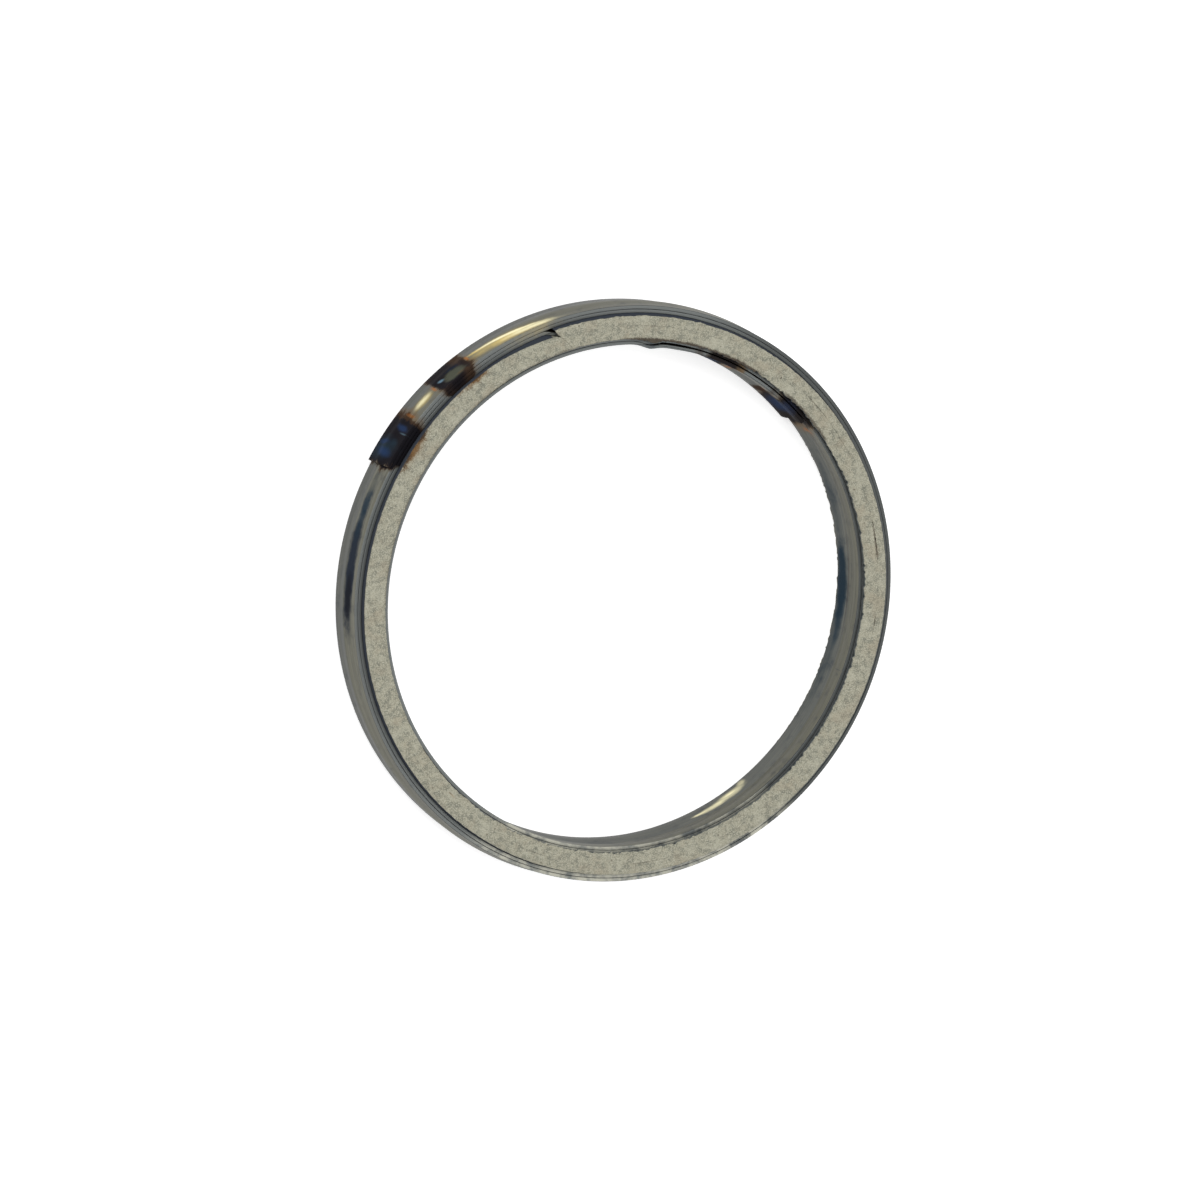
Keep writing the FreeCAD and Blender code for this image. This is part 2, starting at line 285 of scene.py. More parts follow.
class Paint:
    """Builds the nodes of one material.  Places and sizes are in millimetres."""

    def __init__(self, name):
        self.material = bpy.data.materials.new(name)
        self.material.use_nodes = True
        self.tree = self.material.node_tree
        self.shader = self.tree.nodes["Principled BSDF"]
        place = self.node("ShaderNodeTexCoord", {}, {}).outputs["Object"]
        self.point = self.node("ShaderNodeVectorMath", {"operation": "SCALE"},
                               {"Vector": place, "Scale": 1 / MM}).outputs["Vector"]
        parts = self.node("ShaderNodeSeparateXYZ", {}, {"Vector": self.point})
        self.x, self.y, self.z = (Value(self, parts.outputs[axis]) for axis in "XYZ")
        self.radius = (self.x * self.x + self.y * self.y).root()
        self.degrees = self.y.math("ARCTAN2", self.x) * math.degrees(1)

    def node(self, kind, settings, inputs):
        return add_node(self.tree, kind, settings, inputs)

    def value(self, kind, settings, inputs, output=0):
        return Value(self, self.node(kind, settings, inputs).outputs[output])

    def noise(self, vector, scale, detail=3.0, rough=0.55, w=None):
        inputs = {"Vector": vector, "Scale": scale, "Detail": detail, "Roughness": rough}
        settings = {"noise_dimensions": "3D"}
        if w is not None:
            settings["noise_dimensions"] = "4D"
            inputs["W"] = w
        return self.value("ShaderNodeTexNoise", settings, inputs, "Fac")

    def spots(self, vector, scale):
        """Distance to the nearest of scattered points."""
        return self.value("ShaderNodeTexVoronoi", {}, {"Vector": vector, "Scale": scale}, "Distance")

    def vector(self, x, y, z):
        return self.node("ShaderNodeCombineXYZ", {}, {"X": x, "Y": y, "Z": z}).outputs["Vector"]

    def mix(self, factor, under, over):
        """Colour over the colour under, by factor."""
        node = self.node("ShaderNodeMix", {"data_type": "RGBA"}, {"Factor": factor})
        for socket, shade in ((node.inputs[6], under), (node.inputs[7], over)):
            feed(self.tree, socket, shade if isinstance(shade, bpy.types.NodeSocket) else (*shade, 1.0))
        return node.outputs[2]

    def set(self, **inputs):
        """Puts numbers and links on the shader's own sockets."""
        for name, given in inputs.items():
            name = name.replace("_", " ").title().replace("Ior", "IOR")
            feed(self.tree, self.shader.inputs[name], given)

    def bump(self, height, distance, strength=1.0):
        return self.node("ShaderNodeBump", {}, {"Height": height, "Distance": distance,
                                                "Strength": strength}).outputs["Normal"]

    def patch(self, degrees, radius, height, half_length, half_height, depth, tilt, soft, waver):
        """1 inside an ellipsoid on the ring, falling to 0 at its rim, which waver makes uneven.

        It is half_length long each way round the ring, half_height along the axis and depth across
        the wall, and tilt in degrees raises its end on the side of growing ring angles.
        """
        turn = math.radians(degrees)
        middle = (radius * math.cos(turn), radius * math.sin(turn), height)
        local = self.node("ShaderNodeMapping", {"vector_type": "TEXTURE"}, {
            "Vector": self.point, "Location": middle, "Rotation": (math.radians(tilt), 0.0, turn),
            "Scale": (depth, half_length, half_height)}).outputs["Vector"]
        reach = self.value("ShaderNodeVectorMath", {"operation": "LENGTH"}, {"Vector": local}, "Value")
        return (reach + waver).rise(1.0, 1.0 - soft)


# Radii in millimetres: the two walls that carry marks, and the hidden turn between them.
OUTER_WALL = 22.15
INNER_WALL = 19.25
HIDDEN_TURN = (20.4, 20.6)

# Stretches of the strip's edges with painted glints, and stretches that look blue: first and last ring
# angle, and their fade.
PAINTED_GLINT_EDGES = (-115.0, -58.0, 12.0)
BLUE_EDGES = (-50.0, 55.0, 25.0)

# Marks on the steel's walls, each over those before it: ring angle, height, half length, half height,
# tilt, softness, colour and strength. Besides the welds' temper colours they hold painted reflections,
# highlights and shade, noted above their rows.
OUTER_MARKS = (
    # Painted reflection: these four marks darken the ridge's upper flank into a navy band, away from the
    # welds.
    (173.0, 3.35, 7.2, 0.95, 0, 0.6, "navy", 0.9),
    (160.0, 3.30, 3.0, 0.80, 0, 1.0, "slate", 0.6),
    (164.0, 3.30, 2.8, 0.60, 0, 0.9, "slate", 0.6),
    (179.0, 3.35, 2.4, 0.60, 0, 0.6, "soot_and_dark_reflection", 0.7),
    # Painted highlights: a gold and cream streak along the ridge's upper flank before the first weld, and a
    # smaller one between the welds.
    (115.5, 3.80, 4.8, 1.10, -6, 1.0, "painted_gold_highlight", 0.9),
    (111.0, 4.00, 3.2, 0.62, -4, 1.0, "painted_cream_highlight", 1.0),
    (123.0, 3.00, 1.4, 0.26, -7, 0.9, "painted_gold_highlight", 0.9),
    (115.5, 3.32, 3.9, 0.26, -7.5, 0.7, "painted_cream_highlight", 0.95),
    (118.0, 3.20, 1.9, 0.14, -7.5, 0.7, "painted_cream_highlight", 0.8),
    (137.2, 3.35, 1.4, 0.75, 0, 1.0, "painted_gold_highlight", 0.5),
    (137.4, 3.25, 1.2, 0.42, 0, 0.9, "painted_cream_highlight", 0.7),
    (146.3, 2.8, 2.75, 6.5, 0, 0.25, "umber", 0.55),
    (146.9, 2.8, 2.40, 6.5, 0, 0.15, "brown", 0.9),
    (141.1, 3.3, 0.22, 1.1, 0, 0.9, "orange", 0.45),
    (147.2, 2.8, 2.1, 5.5, 0, 0.12, "soot_and_dark_reflection", 0.95),
    (148.9, 2.2, 1.35, 2.6, 3, 0.9, "slate", 0.9),
    (149.6, 2.6, 0.55, 1.9, -5, 0.8, "blue", 0.9),
    (147.6, 1.9, 0.35, 1.3, 6, 0.8, "blue", 0.8),
    (147.2, 3.4, 0.5, 0.8, -12, 0.9, "slate", 0.5),
    (144.0, 3.3, 0.4, 1.3, -4, 0.8, "blue", 0.8),
    (145.0, 3.9, 0.1, 0.8, 0, 0.8, "ice", 0.4),
    (129.5, 2.8, 2.15, 6.5, 0, 0.25, "umber", 0.55),
    (129.7, 2.8, 1.85, 6.5, 0, 0.15, "brown", 0.9),
    (134.2, 3.3, 0.22, 0.8, 0, 0.9, "orange", 0.7),
    (125.3, 3.0, 0.22, 0.6, 0, 0.9, "orange", 0.8),
    (130.4, 2.3, 1.45, 6.0, 0, 0.50, "soot_and_dark_reflection", 0.9),
    (128.2, 3.1, 1.0, 1.2, 0, 0.9, "navy", 0.6),
    (133.0, 2.9, 0.45, 2.6, 0, 0.5, "soot_and_dark_reflection", 0.9),
    (126.4, 3.4, 0.35, 1.6, 0, 0.6, "soot_and_dark_reflection", 0.6),
    (129.3, 3.6, 1.15, 1.0, -8, 0.5, "lens", 0.95),
    (128.5, 4.1, 0.5, 0.3, -8, 0.8, "umber", 0.4),
    (132.1, 3.1, 0.40, 0.26, -20, 0.8, "ice", 0.8),
    (129.0, 2.68, 1.3, 0.14, -10, 0.7, "navy", 0.9),
)
INNER_MARKS = (
    # Painted reflection: these four marks darken the lower flank blue-grey.
    (345.0, 1.30, 9.5, 1.0, 0, 0.8, "slate", 0.4),
    (20.0, 1.35, 6.0, 1.0, 0, 0.9, "slate", 0.45),
    (0.0, 1.45, 4.8, 1.0, 0, 0.6, "slate", 0.95),
    (352.0, 1.65, 3.5, 0.7, 0, 0.8, "slate", 0.7),
    # Painted shade: a thin dark line along the groove's valley.
    (0.0, 2.42, 8.0, 0.14, 0, 0.9, "brown", 0.35),
    # Painted highlights: pale cream patches on the lower flank.
    (303.0, 1.72, 1.9, 0.62, 0, 0.6, "painted_cream_highlight", 0.55),
    (298.0, 1.90, 1.7, 0.42, 0, 0.8, "painted_cream_highlight", 0.7),
    (303.0, 1.62, 0.9, 0.24, 4, 0.8, "painted_cream_highlight", 0.9),
    (306.9, 1.25, 0.5, 0.55, 0, 0.8, "painted_cream_highlight", 0.5),
    (294.0, 1.86, 0.9, 0.20, 0, 0.8, "painted_cream_highlight", 0.8),
    (340.5, 3.7, 0.06, 0.9, 0, 0.8, "gap", 0.6),
    (45.0, 2.7, 3.1, 4.5, 0, 0.3, "umber", 0.7),
    (37.9, 2.9, 0.3, 1.3, 0, 0.8, "orange", 0.7),
    (45.5, 2.7, 2.5, 4.5, 0, 0.3, "soot_and_dark_reflection", 0.9),
    (47.0, 2.9, 1.3, 2.6, 0, 0.7, "blue", 0.7),
    (52.6, 2.4, 0.6, 3.6, 0, 0.7, "brown", 0.95),
    (54.2, 3.4, 0.3, 0.9, 0, 0.8, "orange", 0.9),
    (66.5, 2.7, 2.2, 4.5, 0, 0.3, "umber", 0.8),
    (62.0, 2.2, 0.3, 1.6, 0, 0.8, "orange", 0.7),
    (67.5, 2.7, 1.8, 4.5, 0, 0.3, "soot_and_dark_reflection", 0.9),
    (66.0, 2.4, 0.9, 2.4, 0, 0.7, "blue", 0.6),
    (73.5, 2.6, 0.8, 3.6, 0, 0.7, "brown", 0.8),
    (85.5, 3.6, 1.1, 1.6, 0, 0.6, "navy", 0.9),
)

# Tints whose thick oxide dulls the steel; their painted reflection marks are made rougher too.
DULL_TINTS = ("navy", "soot_and_dark_reflection", "brown", "slate")


def steel_paint(finish, winding, filler):
    """Rolled steel with streaks round the ring, sheared edges with painted glints and painted shade between
    turns, the welds' temper colours, and painted reflections, highlights and shade on the walls.
    """
    paint = Paint("rolled_steel")
    height = paint.z - filler.width / 2 / MM
    drift = paint.vector(paint.x * 0.05, paint.y * 0.05, height * 1.6)
    streak = paint.noise(drift, 1.0, 4.0, 0.6, paint.radius * 2.0)
    fine = paint.noise(paint.vector(paint.x * 0.25, paint.y * 0.25, height * 14), 1.0, 2.0, 0.6,
                       paint.radius * 14)
    cloud = paint.noise(paint.point, 0.9, 4.0, 0.6)
    shade = paint.mix(streak.rise(0.35, 0.7), finish.plain, finish.pale)
    # Painted shade: the chevron's lower flank is darkened towards blue-grey.
    shade = paint.mix(height.rise(0.1, -0.15) * 0.6, shade, finish.flank_shade_and_edge_blue)
    shade = paint.mix(fine.rise(0.45, 0.7) * 0.6, shade, finish.pale)
    shade = paint.mix(fine.rise(0.45, 0.25) * 0.35, shade, finish.navy)
    shade = paint.mix(cloud.rise(0.48, 0.28) * 0.35, shade, finish.navy)

    # Whole turns from the bore, so that the rest runs across one turn and the gap outside it.
    pitch = (winding.strip_thickness + winding.turn_clearance) / MM
    wound = ((paint.degrees - math.degrees(filler.start_angle)) / 360.0).rest() * pitch
    filled = FILLED_TURNS * (filler.thickness + winding.turn_clearance) / MM % pitch
    outer = paint.radius.rise(*HIDDEN_TURN)
    turns = (paint.radius - wound - outer * filled - winding.bore_radius / MM) / pitch
    ridge = 1 - ((turns.rest() - winding.strip_thickness / MM / pitch / 2) * 2).size()
    half_width = winding.strip_width / 2 / MM
    rim = height.size().rise(half_width - 0.06, half_width - 0.015)
    # Painted highlights: bright glints on the strip's edges over one stretch of ring angles, broken up by
    # noise.
    lit = (paint.degrees.band(*PAINTED_GLINT_EDGES) * cloud.rise(0.35, 0.6)).clamped()
    edge = paint.mix(paint.degrees.band(*BLUE_EDGES) * outer, finish.edge, finish.flank_shade_and_edge_blue)
    edge = paint.mix(lit * 0.9, edge, finish.bright)
    # Painted shade: the strip's edges darken where one turn meets the next.
    edge = paint.mix(ridge.rise(0.2, 0.05), edge, finish.gap)
    shade = paint.mix(rim * 0.8, shade, edge)

    waver = (cloud - 0.5) * 0.7 + (fine - 0.5) * 0.25
    oxide = rim * 0.7
    marks = [(OUTER_WALL, *mark) for mark in OUTER_MARKS] + [(INNER_WALL, *mark) for mark in INNER_MARKS]
    for wall, degrees, level, half_length, half_height, tilt, soft, tint, strength in marks:
        depth = 1.2 + half_length ** 2 / wall
        mark = paint.patch(degrees, wall, level, half_length, half_height, depth, tilt, soft, waver)
        shade = paint.mix(mark * strength, shade, getattr(finish, tint))
        if tint in DULL_TINTS:
            oxide = oxide.high(mark * strength)
    paint.set(base_color=shade, metallic=1.0, roughness=0.3 + streak * 0.16 + oxide * 0.35)
    paint.set(specular_tint=(*finish.graze, 1.0))
    relief = fine * 0.6 + streak * 0.4
    paint.set(normal=paint.bump(relief, 0.00002, 0.35))
    return paint.material


# Marks on the filler's upper face: ring angle, radius, half length, half width, softness, colour, strength.
FILLER_MARKS = (
    (146.5, 21.36, 2.7, 0.62, 1.0, "scorch", 1.0),
    (146.5, 21.40, 2.3, 0.40, 0.8, "scorch", 0.9),
    (143.6, 21.38, 1.1, 0.28, 0.8, "char", 0.9),
    (149.4, 21.38, 1.0, 0.30, 0.8, "char", 0.8),
    (127.6, 21.36, 1.7, 0.50, 1.0, "scorch", 1.0),
    (127.4, 21.38, 1.2, 0.30, 0.8, "scorch", 0.9),
    (127.2, 21.38, 0.8, 0.20, 0.8, "char", 0.7),
    (131.8, 21.38, 0.9, 0.25, 0.9, "scorch", 0.6),
    (226.5, 20.20, 0.55, 0.14, 0.9, "warm", 0.9),
    (226.0, 20.18, 0.30, 0.07, 0.9, "speck", 0.7),
    (54.0, 20.35, 0.07, 0.17, 0.7, "speck", 0.9),
    (293.5, 20.35, 0.09, 0.11, 0.7, "speck", 0.7),
    (70.0, 20.20, 0.08, 0.08, 0.7, "speck", 0.6),
    (61.0, 20.62, 0.08, 0.09, 0.7, "speck", 0.6),
    (10.5, 20.68, 1.9, 0.05, 0.7, "speck", 0.75),
    (352.5, 20.72, 0.7, 0.045, 0.7, "speck", 0.6),
    (33.0, 20.70, 1.0, 0.035, 0.8, "speck", 0.45),
    (44.0, 20.70, 1.5, 0.035, 0.8, "speck", 0.4),
    (86.0, 20.68, 0.9, 0.035, 0.8, "speck", 0.45),
    (276.0, 20.62, 1.6, 0.03, 0.8, "speck", 0.3),
    (250.0, 20.60, 1.3, 0.03, 0.8, "speck", 0.25),
)


# Dark stretches of the filler's inner edge, first and last ring angle, fade in degrees and strength: the
# first two are burnt beside the inner welds, the third is painted shade.
CHARRED_AND_SHADED_STRETCHES = ((60.0, 92.0, 3.0, 1.0), (37.0, 50.0, 2.0, 0.8), (104.0, 180.0, 9.0, 0.45))
CHARRED_AND_SHADED_EDGE = (20.08, 19.90)

# The line that crosses the face between the filler's two ends: its reach and fade in degrees, a ring angle
# and radius on it, and how fast its radius grows, in millimetres for each degree.
END_LINE = (105.4, 108.9, 0.4)
END_LINE_PLACE = (106.6, 20.6)
END_LINE_LEAN = 0.55


def filler_paint(finish, filler):
    """Pressed mineral fibre, mottled and specked, with scorched edges beside the welds and painted shade on
    its sides and part of its inner edge.
    """
    paint = Paint("mineral_fibre")
    broad = paint.noise(paint.point, 0.55, 4.0, 0.6)
    mottle = paint.noise(paint.point, 2.1, 5.0, 0.62)
    fibre = paint.noise(paint.vector(paint.x * 0.9, paint.y * 0.9, paint.z), 4.2, 4.0, 0.65,
                        paint.radius * 3.0)
    grain = paint.noise(paint.point, 11.0, 3.0, 0.6)
    shade = paint.mix(mottle.rise(0.38, 0.58), finish.dull, finish.fibre)
    shade = paint.mix(grain.rise(0.47, 0.62) * 0.8, shade, finish.pale)
    shade = paint.mix(grain.rise(0.47, 0.34) * 0.6, shade, finish.dull)
    shade = paint.mix(fibre.rise(0.54, 0.72) * 0.6, shade, finish.dull)
    shade = paint.mix(broad.rise(0.5, 0.68) * 0.4, shade, finish.warm)
    shade = paint.mix(broad.rise(0.48, 0.34) * 0.4, shade, finish.pale)
    speck = paint.spots(paint.point, 1.3).rise(0.16, 0.04) * mottle.rise(0.48, 0.56)
    shade = paint.mix(speck * 0.7, shade, finish.speck)
    waver = (mottle - 0.5) * 1.4 + (grain - 0.5) * 0.8
    top, middle = filler.width / MM, filler.width / 2 / MM
    for degrees, radius, half_length, half_width, soft, tint, strength in FILLER_MARKS:
        depth = half_width + half_length ** 2 / (2 * radius)
        mark = paint.patch(degrees, radius, top, half_length, 0.8, depth, 0, soft, waver)
        shade = paint.mix(mark * strength, shade, getattr(finish, tint))

    torn = grain * 0.08 + mottle * 0.08
    # Dark inner edge: charred fibre beside the inner welds, and painted shade on the stretch from 104 to
    # 180 degrees.
    burnt = (paint.radius + torn * 2.5).rise(*CHARRED_AND_SHADED_EDGE)
    burnt = burnt * sum(paint.degrees.band(*stretch) * strength for *stretch, strength in CHARRED_AND_SHADED_STRETCHES)
    shade = paint.mix(burnt.clamped() * 0.85, shade, finish.char)
    degrees, radius = END_LINE_PLACE
    across = radius + (paint.degrees - degrees) * END_LINE_LEAN
    split = (paint.radius - across).size().rise(0.09, 0.02) * paint.degrees.band(*END_LINE)
    shade = paint.mix(split * 0.4, shade, finish.speck)
    # Painted shade: the filler's sides, away from its two faces, are darkened, the inner side less, except
    # at the blunt end.
    low = (paint.z - middle).size() + torn
    end = paint.patch(107.6, 21.0, top, half_length=0.5, half_height=1.5, depth=0.4, tilt=0, soft=0.3,
                      waver=waver * 0.3)
    side = paint.mix(paint.radius.rise(*HIDDEN_TURN), finish.dust, finish.side)
    shade = paint.mix(low.rise(middle + 0.01, middle - 0.15) * (1 - end), shade, side)
    paint.set(base_color=shade, metallic=0.0, roughness=0.92, specular_ior_level=0.2)
    paint.set(normal=paint.bump(grain * 0.5 + fibre * 0.8, 0.00004, 0.6))
    return paint.material


# The winding's plan

TINY = 1e-5

# Degrees: half of the steel's short climb over the filler's first end, and the turn in which the blunt
# end's slant grows.
SHORT_CLIMB = 2.2
SLANT_ARC = 5


class Spiral:
    """The plan of the winding.

    Angles run on from turn to turn and are zero where the filler starts.  Every half turn is an arc.
    The arcs' centres alternate about the axis, so that neighbouring turns are offsets of each other.
    """

    def __init__(self, winding, filler):
        self.winding = winding
        self.filler = filler
        self.pitch = winding.strip_thickness + winding.turn_clearance
        self.climb = filler.thickness + winding.turn_clearance
        self.strip_start = -(BARE_TURNS - 1) * FULL_TURN - winding.lead_angle
        self.strip_stop = (FILLED_TURNS + BARE_TURNS) * FULL_TURN + winding.tail_angle
        self.filler_stop = FILLED_TURNS * FULL_TURN
        kink = -(BARE_TURNS - 1) * FULL_TURN - winding.kink_angle
        self.joggles = [(kink, winding.lead_step, winding.kink_arc)]
        self.joggles += [(turn * FULL_TURN, self.climb, filler.joggle_arc)
                         for turn in range(1, FILLED_TURNS + 1)]

    def direction(self, turn):
        turn += self.filler.start_angle
        return Vector((math.cos(turn), math.sin(turn), 0.0))

    def centre(self, turn):
        side = 1 if half_turns(turn) % 2 else -1
        return self.direction(0.0) * (side * self.pitch / 4)

    def radius(self, turn):
        """Radius of the strip's inner face about its own arc's centre, outside the joggles."""
        halves = half_turns(turn) + 2 * (BARE_TURNS - 1)
        climbed = sum(rise for start, rise, arc in self.joggles if turn >= start + arc - TINY)
        return (self.winding.bore_radius - self.winding.lead_step + self.pitch / 4
                + halves * self.pitch / 2 + climbed)

    def runs(self, offset, start, stop):
        """The line offset outside the strip's inner face: where each run starts and how it goes on.

        An arc is (turn, centre, how far it turns) and a straight span is (turn, None, its move).
        """
        runs = []
        turn = start
        while turn < stop - TINY:
            joggle = next((j for j in self.joggles if abs(j[0] - turn) < TINY), None)
            if joggle:
                runs += self.joggle_runs(turn, self.radius(turn) + offset, *joggle[1:])
                turn += joggle[2]
                continue
            ends = [(half_turns(turn) + 1) * HALF_TURN, stop]
            ends += [place for place, rise, arc in self.joggles if place > turn + TINY]
            runs.append((turn, self.centre(turn), min(ends) - turn))
            turn = min(ends)
        return runs

    def joggle_runs(self, turn, radius, rise, arc):
        """A straight span that leaves the turn as its tangent, and a bend on to the raised turn."""
        bend = bend_radius(radius, rise, arc)
        pivot = self.centre(turn) + self.direction(turn + arc) * (radius + rise - bend)
        start = self.centre(turn) + self.direction(turn) * radius
        return [(turn, None, pivot + self.direction(turn) * bend - start), (turn, pivot, arc)]

    def climbing_radius(self, radius, turn):
        """How far from the arc's centre a turn lies that started to climb turn ago."""
        arc = self.filler.joggle_arc
        bend = bend_radius(radius, self.climb, arc)
        reach = radius + self.climb - bend
        if reach * math.sin(arc) > radius * math.tan(turn):
            return radius / math.cos(turn)
        rest = arc - turn
        return reach * math.cos(rest) + math.sqrt(bend ** 2 - (reach * math.sin(rest)) ** 2)

    def filler_radius(self, turn, arc):
        """Radius of the filler's inner face about the centre of the arc that starts at the turn arc."""
        if abs(arc - FULL_TURN) < TINY:
            since = min(max(turn - FULL_TURN, 0.0), self.filler.joggle_arc)
            return self.climbing_radius(self.radius(FULL_TURN) + self.pitch, since)
        return self.radius(max(arc, self.filler.joggle_arc)) + self.pitch

    def lift(self, turn):
        """How much sooner than planned the steel climbs over the filler's first end."""
        for joggle in range(1, FILLED_TURNS + 1):
            since = turn - joggle * FULL_TURN
            if -math.radians(SHORT_CLIMB) < since < self.filler.joggle_arc:
                radius = self.radius(joggle * FULL_TURN)
                planned = self.climbing_radius(radius, max(since, 0.0)) - radius
                return max(self.climb * ease(since, -SHORT_CLIMB, SHORT_CLIMB) - planned, 0.0)
        return 0.0

    def ring_degrees(self, turn):
        return math.degrees(turn + self.filler.start_angle) % 360.0

    def dent(self, turn):
        """How far the bare inner turns and the filler on them are pushed into the bore."""
        sizes = self.winding
        off = math.radians(self.ring_degrees(turn)) - sizes.dent_place
        return -sizes.dent_depth * math.exp(-(off / sizes.dent_reach) ** 2)


def half_turns(turn):
    return math.floor(turn / HALF_TURN + TINY)


def bend_radius(radius, rise, arc):
    return (radius - (radius + rise) * math.cos(arc)) / (1 - math.cos(arc))


def ease(turn, start, stop):
    """Smooth step of an angle, from 0 at start to 1 at stop, both in degrees."""
    part = (math.degrees(turn) - start) / (stop - start)
    part = min(max(part, 0.0), 1.0)
    return part * part * (3 - 2 * part)


def blend(first, second, part):
    return first + (second - first) * part


def along(line, place):
    """Height over a place of the line through the given points."""
    for (start, low), (stop, high) in zip(line, line[1:]):
        if place < stop:
            return blend(low, high, max(place - start, 0.0) / (stop - start))
    return line[-1][1]


def ridge_rise(height, sizes):
    """How far the chevron lies outside its flanges at a height from the middle."""
    part = min(abs(height) / sizes.ridge_half_width, 1.0)
    wave = 0.5 + 0.5 * math.cos(math.pi * part)
    return sizes.ridge_height * blend(1 - part, wave, 0.5)


# Modelling

LONGEST_SPIN = math.radians(45)
STRAIGHT_STEPS = 12
RIDGE_CUTS = 4

# Shares of the filler's proud part and of its thickness at which its section is cut.
PROUD_CUTS = (0.5, 0.85)
FACE_CUTS = (0.06, 0.18, 0.34, 0.5, 0.66, 0.82, 0.94)

# Neighbouring faces that meet at a wider angle than this show a crease.
STEEL_CREASE = math.radians(40)
FILLER_CREASE = math.radians(50)

# Cosine of the widest angle from a weld's middle that its flat can reach.
FLAT_REACH = 0.9


def deselect_all():
    if bpy.context.mode != "OBJECT":
        bpy.ops.object.mode_set(mode="OBJECT")
    bpy.ops.object.select_all(action="DESELECT")


def pick(piece, vertices):
    """Selects vertices by their places, in edit mode."""
    bpy.ops.mesh.select_all(action="DESELECT")
    bpy.ops.object.mode_set(mode="OBJECT")
    bpy.context.tool_settings.mesh_select_mode = (True, False, False)
    for vertex in piece.data.vertices:
        vertex.select = vertices(vertex.co)
    bpy.ops.object.mode_set(mode="EDIT")


def start_section(name, thickness, width):
    """An upright rectangle in the XZ plane, its inner side on the Z axis, left in edit mode."""
    deselect_all()
    bpy.ops.mesh.primitive_plane_add(size=1, location=(thickness / 2, 0, 0),
                                     rotation=(math.radians(90), 0, 0))
    piece = bpy.context.object
    piece.name = name
    piece.data.name = name
    piece.scale = (thickness, width, 1)
    bpy.ops.object.transform_apply(location=True, rotation=True, scale=True)
    bpy.ops.object.mode_set(mode="EDIT")
    return piece


def cut(axis, places):
    """Cuts the section across at each place along the axis."""
    for place in places:
        bpy.ops.mesh.select_all(action="SELECT")
        point, normal = [0.0, 0.0, 0.0], [0.0, 0.0, 0.0]
        point[axis], normal[axis] = place, 1.0
        bpy.ops.mesh.bisect(plane_co=point, plane_no=normal)


def raise_ridge(piece, sizes):
    """Bends the cut section into a chevron."""
    for height in ridge_cuts(sizes):
        pick(piece, lambda place: abs(place.z - height) < TINY * MM)
        bpy.ops.transform.translate(value=(ridge_rise(height, sizes), 0, 0), orient_type="GLOBAL")


def ridge_cuts(sizes):
    steps = range(-RIDGE_CUTS, RIDGE_CUTS + 1)
    return [sizes.ridge_half_width * index / RIDGE_CUTS for index in steps]


def join_faces():
    bpy.ops.mesh.select_all(action="SELECT")
    bpy.ops.mesh.dissolve_faces()


def open_section():
    """Leaves only the section's outline."""
    bpy.ops.mesh.select_all(action="SELECT")
    bpy.ops.mesh.delete(type="ONLY_FACE")


def section_places(spiral, radius, turn):
    """Where the finished section first stands on the winding's line."""
    centre = spiral.centre(turn) + Vector((0, 0, spiral.filler.width / 2))
    turned = Matrix.Rotation(turn + spiral.filler.start_angle, 4, "Z")
    return Matrix.Translation(centre) @ turned @ Matrix.Translation((radius, 0, 0))


def sweep(section, place, runs, step, spiral, rule):
    """Carries a closed section along the runs, a short stretch at a time, and closes both ends.

    Each stretch is reshaped by the rule before it joins the others.
    """
    bpy.ops.object.mode_set(mode="OBJECT")
    stretches = []
    for turn, centre, run in runs:
        count = 1 if centre is None else max(1, round(run / LONGEST_SPIN))
        for index in range(count):
            part = stretch(section, place, centre, run / count, step(turn))
            middle = turn if centre is None else turn + run * (index + 0.5) / count
            reshape(part, spiral, turn, middle, rule)
            stretches.append(part)
            if centre is None:
                place = Matrix.Translation(run) @ place
            else:
                pivot = Matrix.Translation(centre)
                place = pivot @ Matrix.Rotation(run / count, 4, "Z") @ pivot.inverted() @ place
    deselect_all()
    bpy.data.objects.remove(section)
    for part in stretches:
        part.select_set(True)
    piece = stretches[0]
    bpy.context.view_layer.objects.active = piece
    bpy.ops.object.join()
    bpy.ops.object.mode_set(mode="EDIT")
    bpy.ops.mesh.select_all(action="SELECT")
    bpy.ops.mesh.remove_doubles(threshold=MM / 1000)
    bpy.ops.mesh.fill_holes(sides=0)
    return piece


def stretch(section, place, centre, run, step):
    """A copy of the section, put in its place and spun or moved on."""
    deselect_all()
    section.select_set(True)
    bpy.context.view_layer.objects.active = section
    bpy.ops.object.duplicate()
    part = bpy.context.object
    part.matrix_world = place
    bpy.ops.object.transform_apply(location=True, rotation=True, scale=True)
    bpy.ops.object.mode_set(mode="EDIT")
    bpy.ops.mesh.select_all(action="SELECT")
    if centre is None:
        for index in range(STRAIGHT_STEPS):
            bpy.ops.mesh.extrude_region_move(
                TRANSFORM_OT_translate={"value": run / STRAIGHT_STEPS, "orient_type": "GLOBAL"})
    else:
        bpy.ops.mesh.spin(steps=max(1, round(run / step)), angle=run, center=centre,
                          axis=(0, 0, -1))
    bpy.ops.object.mode_set(mode="OBJECT")
    return part


